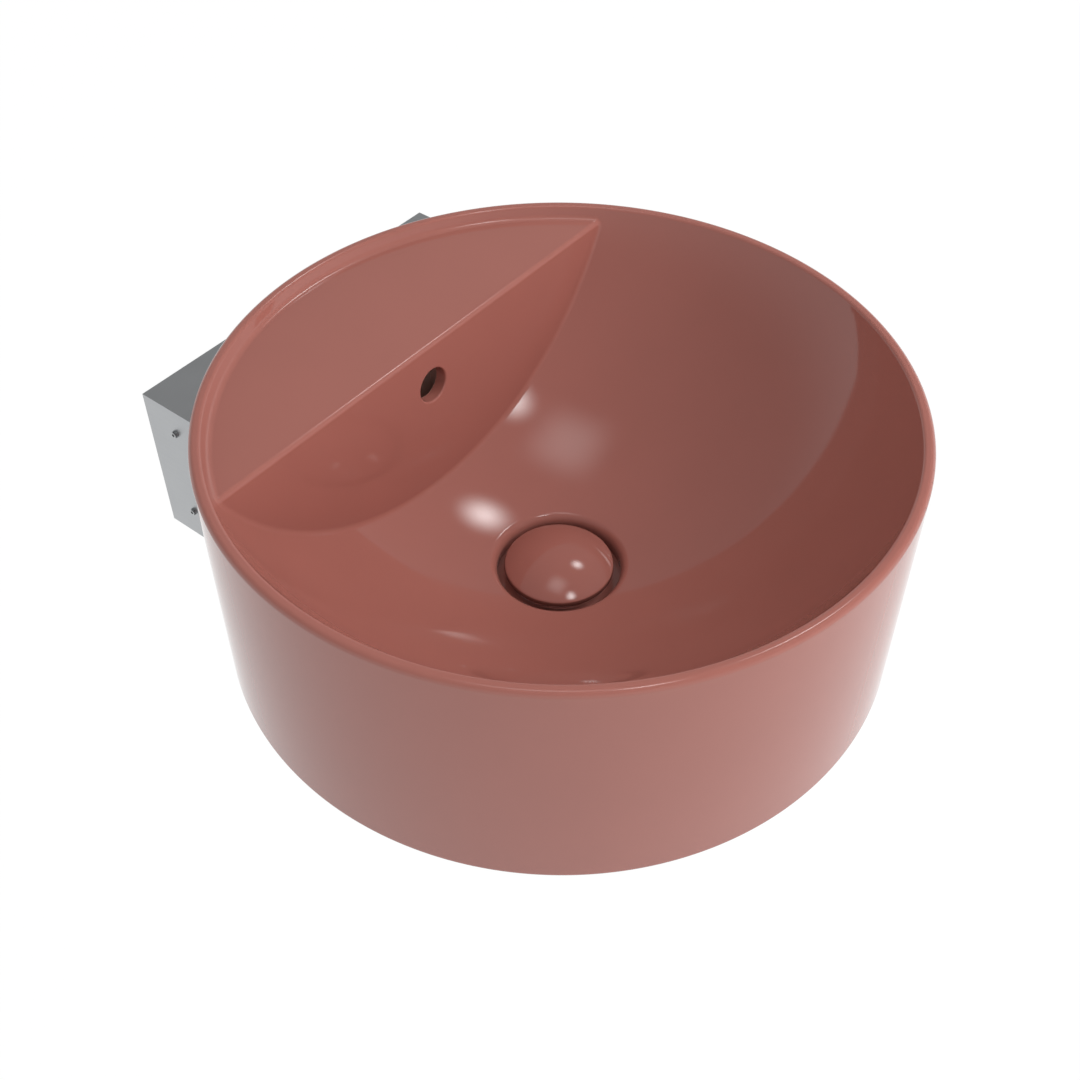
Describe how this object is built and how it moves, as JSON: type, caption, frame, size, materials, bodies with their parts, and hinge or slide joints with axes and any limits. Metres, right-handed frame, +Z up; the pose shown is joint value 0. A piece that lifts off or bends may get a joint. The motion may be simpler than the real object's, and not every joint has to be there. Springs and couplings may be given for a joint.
{
  "type": "wall hung basin",
  "caption": "Round wall hung ceramic basin with a rear deck, overflow, push-to-open waste with ceramic cover, and a folded steel box bracket for the wall.",
  "frame": {"origin": "on the wall plane, at the centre of the four wall bolt holes", "axes": "+Z up, +Y into the wall, +X along the wall to the right for someone who faces it"},
  "size_m": [0.42, 0.4309, 0.214],
  "materials": {
    "glazed_ceramic": "gloss terracotta glaze",
    "bracket_steel": "fine brushed stainless steel",
    "screw_steel": "zinc plated steel",
    "fastener_steel": "bright zinc plated steel",
    "brass": "turned brass",
    "chromed_brass": "bright chromed brass",
    "seal_rubber": "black EPDM rubber",
    "white_acetal": "moulded white acetal",
    "bond_foam": "soft white bonding foam"
  },
  "bodies": {
    "root": {"basin_body": "glazed_ceramic", "bracket_shell": "bracket_steel", "wall_frame": "bracket_steel", "lock_screws": "screw_steel", "lock_nuts": "fastener_steel", "basin_bolts": "fastener_steel", "bolt_washers": "fastener_steel", "bolt_inserts": "brass", "bracket_pads": "seal_rubber", "waste_body": "chromed_brass", "flange_seal": "seal_rubber", "cone_seal": "seal_rubber", "slip_washer": "white_acetal", "back_nut": "brass", "clicker_barrel": "white_acetal", "clicker_bush": "white_acetal", "clicker_spring": "fastener_steel"},
    "plug": {"drain_cover": "glazed_ceramic", "cover_bond_pad": "bond_foam", "plug_carrier": "chromed_brass", "plug_seal": "seal_rubber", "stem_lock_nut": "brass", "clicker_stem": "chromed_brass", "latch_ring": "white_acetal"}
  },
  "joints": [
    {"name": "plug_lift", "type": "slide", "parent": "root", "child": "plug", "axis": [0, 0, 1], "range_m": [0, 0.009], "deforming": ["clicker_spring"]}
  ]
}
